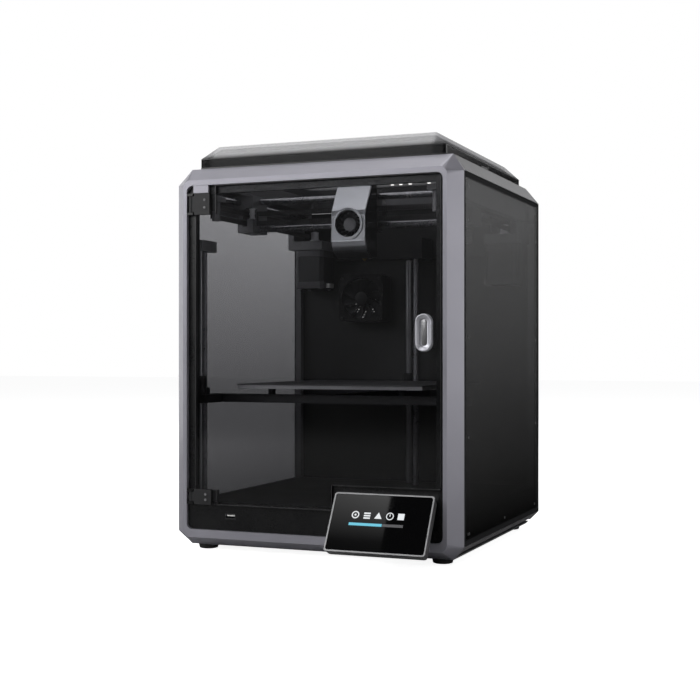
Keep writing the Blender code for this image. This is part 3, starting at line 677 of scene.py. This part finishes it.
def ring_decal(across, down, inner, outer):
    """A thin lit ring on the screen; radii are in millimetres."""
    sides = 28

    def fill(bm):
        inner_low, inner_high, outer_low, outer_high = [
            [bm.verts.new(on_screen(u, v, lift))
             for u, v in even_sided(across, down, sides, radius)]
            for radius in (inner, outer) for lift in DECAL_LIFTS]
        for k in range(sides):
            j = (k + 1) % sides
            for first, second in ((inner_high, outer_high), (outer_low, inner_low),
                                  (inner_low, inner_high), (outer_high, outer_low)):
                bm.faces.new((first[k], first[j], second[j], second[k]))
    return fill


def bar_decal(left, right, top, bottom):
    """A thin lit rectangle on the screen from its edges in shares."""
    return decal([(left, top), (right, top), (right, bottom), (left, bottom)])


# A dial, three lines, a triangle, a clock and a diamond, over a bar of progress.
ICON_DOWN = 0.37
icons = [ring_decal(0.25, ICON_DOWN, 3.1, 4.4), decal(even_sided(0.25, ICON_DOWN, 16, 1.2)),
         bar_decal(0.335, 0.40, 0.325, 0.35), bar_decal(0.335, 0.40, 0.365, 0.39),
         bar_decal(0.335, 0.40, 0.405, 0.43),
         decal(even_sided(0.48, ICON_DOWN + 0.015, 3, 5.0, -pi / 2)),
         ring_decal(0.595, ICON_DOWN, 3.4, 4.4), bar_decal(0.591, 0.599, 0.335, 0.375),
         decal(even_sided(0.705, ICON_DOWN, 4, 5.2, pi / 4))]
piece("screen_icons", "cabinet", icons, UI_WHITE)
for bar_name, left, right, paint in (("screen_bar_lit", 0.20, 0.53, UI_BLUE),
                                     ("screen_bar_rest", 0.535, 0.74, UI_DIM)):
    piece(bar_name, "cabinet", [bar_decal(left, right, 0.505, 0.55)], paint)


# -------- door and front strip

FRONT_STRIP = 351.5          # the strip's face lies this far before the rear panel's back


def door_pull():
    """The oblong metal pull: a rim with a faceted recess."""
    low, high = box("door_handle")
    oval = (*front_centre(low, high), (high.x - low.x) / 2, (high.z - low.z) / 2, low.y)
    rim = ((0.0, high.y - low.y), (0.0, 1.0), (0.25, 0.35), (0.7, 0.0), (1.3, 0.0))
    bowl = ((1.7, 0.5), (4.4, 2.2), (5.0, 3.9), (7.4, 4.5))
    # The darker strip on the recess floor is painted shade.
    recess_shade_strip = ((6.4, 4.6), (6.4, 3.9), (6.8, 3.8))
    piece("door_pull", "door", [loft(oblong_rings(*oval, rim + bowl))], HANDLE_METAL,
          stands_for=("door_handle",))
    piece("door_pull_recess_shade", "door", [loft(oblong_rings(*oval, recess_shade_strip))], SHADED_STEEL)


def hinge_screws():
    """Two screws on each hinge block."""
    heads = []
    for name in ("upper", "lower"):
        low, high = box("door_hinge_" + name)
        x = low.x + 0.62 * (high.x - low.x)
        for share in (0.32, 0.68):
            z = low.z + share * (high.z - low.z)
            heads.append(screw_head((x, low.y + 0.05, z), (0, -1, 0), 1.5, 0.7))
    piece("hinge_screws", "door", heads, FRAME_DARK)


def door_edges():
    """The black ground edges of the door's glass sheet, round its hinges and its notch."""
    low, high = box("door_glass")
    upper, lower = box("door_hinge_upper"), box("door_hinge_lower")
    notch_x, notch_z = high.x - 129.0, low.z + 28.7    # the corner cut out over the screen
    wide, front, back = 0.8, low.y - 0.05, high.y + 0.05
    left_high, left_low = upper[1].x + 0.3, lower[1].x + 0.3
    runs = [((left_high, upper[0].z), (left_high + wide, high.z - 0.6)),
            ((left_high, high.z - 1.0), (high.x - 3, high.z - 0.2)),
            ((low.x + 0.2, lower[1].z + 4), (low.x + 0.2 + wide, upper[0].z - 4)),
            ((left_low, low.z + 1), (left_low + wide, lower[1].z)),
            ((left_low, low.z + 0.2), (notch_x, low.z + 0.2 + wide)),
            ((notch_x - wide, low.z + 0.2), (notch_x, notch_z)),
            ((notch_x, notch_z), (high.x - 2, notch_z + wide)),
            ((high.x - 0.2 - wide, notch_z + 2), (high.x - 0.2, high.z - 5))]
    bars = [block((x0, front, z0), (x1, back, z1)) for (x0, z0), (x1, z1) in runs]
    piece("door_edge_band", "door", bars, BLACK, 0.1)


def usb_socket():
    """The memory-stick socket's metal shell and tongue in the strip under the door."""
    mouth_low, mouth_high = (-109.4, 39.5), (-95.5, 46.0)      # the strip's opening, as (x, z)
    y = box("rear_panel")[1].y - FRONT_STRIP + 0.6
    x, z = [(low + high) / 2 for low, high in zip(mouth_low, mouth_high)]
    half_x, half_z = [(high - low) / 2 - 0.35 for low, high in zip(mouth_low, mouth_high)]
    wall, deep = 0.45, 9
    rings = [[(u, ring_y, v) for u, v in rounded(x, z, half_x - inset, half_z - inset, 0.5, 2)]
             for inset, ring_y in ((0.0, y + deep), (0.0, y), (wall, y), (wall, y + deep))]
    tongue = block((x - 5.0, y + 1.5, z + 0.1), (x + 5.0, y + 8.6, z + 1.5))
    piece("usb_shell", "cabinet", [loft(rings)], STEEL)
    piece("usb_tongue", "cabinet", [tongue], WHITE_PLASTIC, 0.15)


door_pull()
hinge_screws()
door_edges()
usb_socket()


# -------- rods, screws and motors

def smooth_rod(node, body, axis, steel):
    """A ground rod with chamfered ends in place of a CAD rod."""
    low, high = box(node)
    centre = (low + high) / 2
    radius = (high[(axis + 1) % 3] - low[(axis + 1) % 3]) / 2
    start = centre.copy()
    start[axis] = low[axis]
    along = Vector((0, 0, 0))
    along[axis] = 1
    length, chamfer = high[axis] - low[axis], 0.7
    profile = [(0, radius - chamfer), (chamfer, radius), (length - chamfer, radius),
               (length, radius - chamfer)]
    piece(node + "_ground", body, [turned(profile, start, along, 40)], steel,
          stands_for=(node,))


for names, body, axis, steel in (
        (("z_rod_front_left", "z_rod_front_right", "z_rod_rear"), "cabinet", 2, SHADED_STEEL),
        (("y_rod_left", "y_rod_right"), "cabinet", 1, STEEL),
        (("x_rod_lower", "x_rod_upper"), "gantry", 0, STEEL)):
    for node_name in names:
        smooth_rod(node_name, body, axis, steel)


def lead_screw(place, body):
    """A threaded screw on its toothed wheel in place of a plain CAD one."""
    node = "leadscrew_" + place
    low, high = box(node)
    x, y = plan_centre(low, high)
    wheel_low, wheel_high, wheel, flange = 31.0, 39.0, 6.2, 0.8
    thread_top = high.z - 8
    piece("thread_" + place, body,
          [thread(x, y, wheel_high, thread_top), rod((x, y, low.z), (x, y, wheel_high), 3.0, 24),
           turned([(0, 3.6), (7.4, 3.6), (8, 3.0)], (x, y, thread_top), (0, 0, 1), 24)],
          SCREW, stands_for=(node,))
    piece("toothed_wheel_" + place, body,
          [along_z(toothed(x, y, wheel, 10, 0.75), wheel_low + 0.6, wheel_high - 0.6),
           rod((x, y, wheel_low), (x, y, wheel_low + flange), wheel, 40),
           rod((x, y, wheel_high - flange), (x, y, wheel_high), wheel, 40)],
          BED_METAL)


for place in ("front_left", "front_right", "rear"):
    lead_screw(place, place + "_screw")


def stepper(node, side):
    """A stepper motor: end caps, a lamination stack, screws and a plug on its inner side."""
    low, high = box(node)
    x, y = plan_centre(low, high)
    half = (high.x - low.x) / 2
    body_top = high.z - 2.0

    def square(reach, cut):
        outline = []
        for u, v in ((1, 1), (-1, 1), (-1, -1), (1, -1)):
            ends = ((0, cut), (cut, 0)) if u == v else ((cut, 0), (0, cut))
            outline += [(x + u * (reach - a), y + v * (reach - b)) for a, b in ends]
        return outline

    caps = [along_z(square(half, 3.6), low.z, low.z + 9.5),
            along_z(square(half, 3.6), body_top - 9.0, body_top),
            rod((x, y, body_top), (x, y, high.z), 11.0, 40)]
    piece(node + "_caps", "cabinet", caps, MOTOR_CAP, 0.5, stands_for=(node,))
    stack = [along_z(square(half - 0.5, 4.6), low.z + 9.3, body_top - 8.8)]
    piece(node + "_stack", "cabinet", stack, MOTOR_BODY, 0.3)
    heads = [screw_head((x + u * 15.5, y + v * 15.5, low.z + 0.05), (0, 0, -1), 2.5, 1.4)
             for u in (-1, 1) for v in (-1, 1)]
    piece(node + "_screws", "cabinet", heads, SCREW)
    near, far = sorted((x - side * half, x - side * (half + 4.5)))
    plug = block((near, y - 8, low.z + 1.0), (far, y + 8, low.z + 7.5))
    piece(node + "_plug", "cabinet", [plug], WHITE_PLASTIC, 0.4)


stepper("gantry_motor_left", -1)
stepper("gantry_motor_right", 1)


def drive_wheel(place):
    """A toothed belt wheel with flanges on its motor's shaft."""
    node = "drive_pulley_" + place
    low, high = box(node)
    x, y = plan_centre(low, high)
    top = high.z
    piece(node + "_wheel", place + "_pulley",
          [rod((x, y, low.z), (x, y, top), 2.5, 24),
           along_z(toothed(x, y, 5.4, 20, 0.7), top - 12.0, top - 1.4),
           rod((x, y, top - 13.4), (x, y, top - 11.9), 7.1, 40),
           rod((x, y, top - 1.7), (x, y, top - 0.9), 5.9, 40)],
          PULLEY_METAL, stands_for=(node,))


def gantry_idler(place):
    """A flanged idler spool in place of a plain CAD roller."""
    node = "gantry_idler_" + place
    low, high = box(node)
    tall = high.z - low.z
    half, core, rim = tall / 2, 3.3, 4.0
    profile = [(0, 1.8), (0, 3.9), (0.8, rim), (1.3, core), (half - 0.9, core),
               (half - 0.5, rim), (half + 0.5, rim), (half + 0.9, core), (tall - 1.3, core),
               (tall - 0.8, rim), (tall, 3.9), (tall, 1.8)]
    piece("idler_spool_" + place, place + "_idler",
          [turned(profile, (*plan_centre(low, high), low.z), (0, 0, 1), 36)],
          PULLEY_METAL, stands_for=(node,))


drive_wheel("left")
drive_wheel("right")
gantry_idler("left")
gantry_idler("right")


# -------- fans

def exhaust_fan():
    """The chamber's exhaust rotor, its guard and its frame's screws."""
    low, high = box("exhaust_fan_rotor")
    x, z = front_centre(low, high)
    tip, count = (high.z - low.z) / 2 + 1.2, 10
    petals = [fan_blade((x, z), low.y + 0.8, low.y + 7.5, 2 * pi * k / count, 8.5, tip,
                        (0.50, 0.53), 0.3) for k in range(count)]
    hub = turned([(0, 8.2), (0.3, 9.0), (1.2, 9.5), (15.8, 9.5), (16.0, 8.8)],
                 (x, low.y, z), (0, 1, 0), 40)
    piece("exhaust_rotor_blades", "exhaust_rotor", petals + [hub], DARK,
          stands_for=("exhaust_fan_rotor",))
    low, high = box("exhaust_fan_frame")
    pitch, hole = 4.2, 0.75
    guard = hex_sheet((x - 27.5, x + 27.5), (z - 27, z + 27), high.y - 3.4, high.y - 2.6,
                      pitch, hole)
    piece("exhaust_guard", "cabinet", [guard], MOTOR_CAP)
    corner = (high.x - low.x) / 2 - 5
    heads = [screw_head((x + u * corner, low.y + 0.05, z + v * corner), (0, -1, 0), 2.4, 1.0)
             for u in (-1, 1) for v in (-1, 1)]
    piece("exhaust_screws", "cabinet", heads, BLACK)


def head_fan():
    """The rotor of the toolhead's fan."""
    low, high = box("head_fan_rotor")
    x, z = front_centre(low, high)
    tip, count = (high.z - low.z) / 2, 15
    vanes = [fan_blade((x, z), low.y + 1.4, high.y - 1.5, 2 * pi * k / count, 7.0, tip,
                       (0.20, 0.15), 0.35, thick=0.7, steps=4) for k in range(count)]
    hub = turned([(0, 6.2), (0.35, 7.5), (1.2, 8.2), (8.4, 8.4), (9.0, 7.7)],
                 (x, low.y, z), (0, 1, 0), 40)
    piece("head_rotor_blades", "head_rotor", vanes + [hub], FRAME_DARK,
          stands_for=("head_fan_rotor",))


exhaust_fan()
head_fan()


# -------- lamp and feet

def lamp_chips():
    """The chamber light's row of small lamps under its bar."""
    y = box("front_inner_frame")[1].y - 3.4
    lamps = (94, 104, 115, 137)
    for name, half_x, half_y, low, high, finish, slot in (
            ("lamp_chips", 1.5, 1.3, 419.7, 420.6, LAMP, "screen_glass"),
            ("lamp_seats", 2.2, 1.9, 420.4, 421.1, WHITE_PLASTIC, "screen_metal")):
        blocks = [block((x - half_x, y - half_y, low), (x + half_x, y + half_y, high))
                  for x in lamps]
        piece(name, "cabinet", blocks, finish)


def rubber_feet():
    """Turned feet in place of the plain ones."""
    for place in ("front_left", "front_right", "rear_left", "rear_right"):
        node = "foot_" + place
        low, high = box(node)
        wide, tall = (high.x - low.x) / 2, high.z - low.z
        profile = [(0, wide - 2.6), (0.5, wide - 1.2), (1.3, wide - 0.8), (tall - 1.6, wide - 0.3),
                   (tall - 0.8, wide), (tall, wide)]
        piece(node + "_turned", "cabinet",
              [turned(profile, (*plan_centre(low, high), low.z), (0, 0, 1), 48)],
              RUBBER, stands_for=(node,))


lamp_chips()
rubber_feet()


# -------- side walls, lid and back

PANEL_SINK = 0.3             # the sheet's face lies this far inside the CAD sheet's


def side_wall(side_name, side):
    """A smoked side wall with its small screws, in place of the CAD sheet."""
    node = side_name + "_side_panel"
    low, high = box(node)
    outer, inner = (high.x, low.x) if side > 0 else (low.x, high.x)
    outer -= side * PANEL_SINK
    near, far = sorted((outer, inner))
    sheet = block((near, low.y, low.z), (far, high.y, high.z))
    piece(side_name + "_wall_sheet", "cabinet", [sheet], PANEL_PLASTIC_PAINTED_LIGHT, 0.3,
          stands_for=(node,))
    spots = [(y, z) for y in (low.y + 15, low.y + 20, (low.y + high.y) / 2, high.y - 18)
             for z in (high.z - 15, low.z + 12)]
    spots += [(y, z) for y in (low.y + 17, high.y - 12) for z in (high.z - 52, 250, 140)]
    crown = PANEL_SINK - 0.05
    profile = [(0, 1.7), (crown, 1.5), (crown, 0.8), (PANEL_SINK - 0.2, 0.7)]
    heads = [turned(profile, (outer, y, z), (side, 0, 0), 18) for y, z in spots]
    piece(side_name + "_wall_screws", "cabinet", heads, MOTOR_CAP)


side_wall("left", -1)
side_wall("right", 1)


def lid_trim():
    """The lid's dark shoulder line, lower lip, side joint and finger grips."""
    low, high = box("lid_cover")
    x, y = plan_centre(low, high)
    half_x, half_y = (high.x - low.x) / 2, (high.y - low.y) / 2

    def band(z_low, z_high, proud):
        loops = [[(u, v, z) for u, v in rounded(x, y, half_x + grow, half_y + grow, 3.2, 4)]
                 for grow, z in ((-0.6, z_low), (proud, z_low), (proud, z_high), (-0.6, z_high))]
        return loft(loops, closed=True)

    shoulder = low.z + 12.3
    piece("lid_shoulder_line", "lid", [band(shoulder - 0.9, shoulder - 0.1, 0.25)], BLACK)
    piece("lid_lip", "lid", [band(low.z, low.z + 1.6, 0.5)], BLACK)
    bars = []
    for side in (-1, 1):
        wall = x + side * half_x
        for proud, y_low, y_high, z_low, z_high in (
                (0.35, y + 8, y + 9.2, low.z + 1.0, shoulder),
                (0.35, low.y + 2, low.y + 5, low.z + 1.0, shoulder),
                (1.2, y - 24, y + 4, low.z + 4.5, low.z + 6.5)):
            near, far = sorted((wall - side * 0.5, wall + side * proud))
            bars.append(block((near, y_low, z_low), (far, y_high, z_high)))
    piece("lid_side_bars", "lid", bars, BLACK, 0.2)


def rear_screws():
    """Screws round the rear wall."""
    low, high = box("rear_panel")
    spots = [(x, z) for x in (low.x + 10, low.x + 102, 0, high.x - 102, high.x - 10)
             for z in (low.z + 9, high.z - 9)]
    spots += [(x, z) for z in (low.z + 110, (low.z + high.z) / 2, high.z - 110)
              for x in (low.x + 10, high.x - 10)]
    heads = [screw_head((x, high.y - 0.05, z), (0, 1, 0), 2.7, 1.5) for x, z in spots]
    piece("rear_screws", "cabinet", heads, SCREW)


def inlet_details():
    """The mains inlet's pins and screws."""
    low, high = box("power_inlet")
    x, z = front_centre(low, high)
    pins = [block((x + u - 1.1, low.y + 1.8, z + v - 2.0),
                  (x + u + 1.1, high.y - 3.5, z + v + 2.0))
            for u, v in ((-7, -2), (0, 2.5), (7, -2))]
    piece("inlet_pins", "cabinet", pins, BRASS, 0.4)
    heads = [screw_head((x + side * 15.2, high.y - 1.1, z), (0, 1, 0), 1.9, 0.8)
             for side in (-1, 1)]
    piece("inlet_screws", "cabinet", heads, SCREW)


def switch_marks():
    """The on line and the off ring on the rocker, which leans at rest."""
    low, high = box("power_switch")
    centre = (low + high) / 2
    x, z, face = centre.x, centre.z, centre.y + 2.4
    lean = (Matrix.Translation(centre) @ Matrix.Rotation(radians(-8), 4, "X")
            @ Matrix.Translation(-centre))
    line = block((x - 2.4, face - 0.1, z + 4.4), (x + 2.4, face + 0.12, z + 5.4))
    hoop = turned([(0, 1.5), (0, 2.2), (0.22, 2.2), (0.22, 1.5)], (x, face - 0.1, z - 4.8),
                  (0, 1, 0), 28, closed=True)
    piece("switch_marks", "rocker", [mapped(line, lean), mapped(hoop, lean)], WHITE_PLASTIC)


lid_trim()
rear_screws()
inlet_details()
switch_marks()


# -------- stage, light and camera

FLOOR_REACH = 9000


def studio():
    """A pale floor and a white surround.

    The camera sees both at full brightness. Reflections see a dark floor, and the
    surround lights the object only a little.
    """
    ground = linked("studio_floor", mesh_of(
        [block((-FLOOR_REACH, -FLOOR_REACH, -20), (FLOOR_REACH, FLOOR_REACH, 0))], "studio_floor"))
    pale, tree = blank("pale_floor")
    paths = tree.nodes.new("ShaderNodeLightPath")
    seen = tree.nodes.new("ShaderNodeAddShader")
    mat = add(tree, "ShaderNodeBsdfDiffuse", Color=(0.8, 0.8, 0.8, 1))
    lit = add(tree, "ShaderNodeEmission", Color=(1, 1, 1, 1), Strength=0.9)
    tree.links.new(mat.outputs[0], seen.inputs[0])
    tree.links.new(lit.outputs[0], seen.inputs[1])
    bounce = add(tree, "ShaderNodeBsdfDiffuse", Color=(0.85, 0.85, 0.85, 1))
    dim = add(tree, "ShaderNodeBsdfDiffuse", Color=(0.09, 0.09, 0.09, 1))
    unseen = mixed(tree, paths.outputs["Is Glossy Ray"], bounce, dim)
    output(tree, mixed(tree, paths.outputs["Is Camera Ray"], unseen, seen))
    ground.data.materials.append(pale)

    world = bpy.data.worlds.new("studio")
    bpy.context.scene.world = world
    world.use_nodes = True
    tree = world.node_tree
    tree.nodes.clear()
    paths = tree.nodes.new("ShaderNodeLightPath")
    seen = add(tree, "ShaderNodeBackground", Color=(1, 1, 1, 1), Strength=1.0)
    fill = add(tree, "ShaderNodeBackground", Color=(0.97, 0.98, 1.0, 1), Strength=0.08)
    output(tree, mixed(tree, paths.outputs["Is Camera Ray"], fill, seen), "World")


def soft_light(name, at, aim, width, height, watts):
    """A rectangular soft light, in metres, that points at a spot."""
    light = bpy.data.lights.new(name, "AREA")
    light.shape = "RECTANGLE"
    light.size, light.size_y, light.energy = width, height, watts
    lamp = linked(name, light)
    lamp.location = at
    lamp.rotation_euler = (Vector(aim) - Vector(at)).to_track_quat("-Z", "Y").to_euler()


def screen_softbox(eye):
    """A soft panel that only reflections see: the screen mirrors its right edge.

    Its grid is the mirror image, seen from the eye, of an area of the screen's plane.
    """
    normal = Vector((0, -cos(TILT), sin(TILT)))
    reach, cells = 1.9, 12               # metres from the screen, cells each way
    across = [-1.2 + 1.765 * k / cells for k in range(cells + 1)]
    down = [-1.0 + 2.4 * k / cells for k in range(cells + 1)]
    bm = bmesh.new()
    glow = bm.verts.layers.float.new("glow")
    grid = []
    for u in across:
        column = []
        for v in down:
            spot = Vector(on_screen(u, v, 0)) * MM
            back = (eye - spot).normalized()
            bounce = 2 * normal.dot(back) * normal - back
            vert = bm.verts.new(spot + bounce * reach)
            vert[glow] = max(0.2, 4.0 - 4.6 * max(v, 0.0)) * (0.7 + 0.5 * max(u, 0.0))
            column.append(vert)
        grid.append(column)
    for first, second in zip(grid, grid[1:]):
        for k in range(cells):
            bm.faces.new((first[k], first[k + 1], second[k + 1], second[k]))
    mesh = bpy.data.meshes.new("screen_softbox")
    bm.to_mesh(mesh)
    bm.free()
    panel = linked("screen_softbox", mesh)
    lit, tree = blank("softbox_light")
    level = tree.nodes.new("ShaderNodeAttribute")
    level.attribute_name = "glow"
    shine = add(tree, "ShaderNodeEmission", Color=(1, 1, 1, 1))
    tree.links.new(level.outputs["Fac"], shine.inputs["Strength"])
    output(tree, shine)
    mesh.materials.append(lit)
    panel.visible_camera = panel.visible_diffuse = panel.visible_shadow = False
    panel.visible_transmission = False


# The photo's view: a long lens at the height of the cabinet's middle, 22 degrees round.
camera = linked("camera", bpy.data.cameras.new("camera"))
camera.location = (0.57706, -1.45041, 0.23315)
camera.rotation_euler = (radians(90.126), 0, radians(22.19))
camera.data.lens = 64.43
camera.data.sensor_width = 36
camera.data.clip_start = 0.01
bpy.context.scene.camera = camera
bpy.context.scene.view_settings.view_transform = "Standard"

studio()
screen_softbox(camera.location)
soft_light("key", (-1.9, -0.7, 1.3), (0, 0, 0.25), 0.9, 0.9, 18)
soft_light("front_high", (-0.74, -1.83, 1.06), (0, -0.16, 0.25), 0.9, 0.55, 9)
soft_light("front_left", (-1.75, -1.55, 0.95), (0, -0.16, 0.25), 1.0, 1.2, 17)
soft_light("overhead", (-0.3, -0.2, 2.6), (0, 0, 0.2), 2.4, 2.2, 40)
soft_light("right_strip", (2.0, -0.45, 0.5), (0.1, -0.1, 0.25), 0.7, 1.4, 9)
soft_light("left_strip", (-1.5, 1.2, 0.35), (-0.17, -0.15, 0.25), 0.7, 1.4, 8)
soft_light("rear_fill", (0.9, 1.9, 1.3), (0, 0, 0.25), 1.0, 1.0, 9)
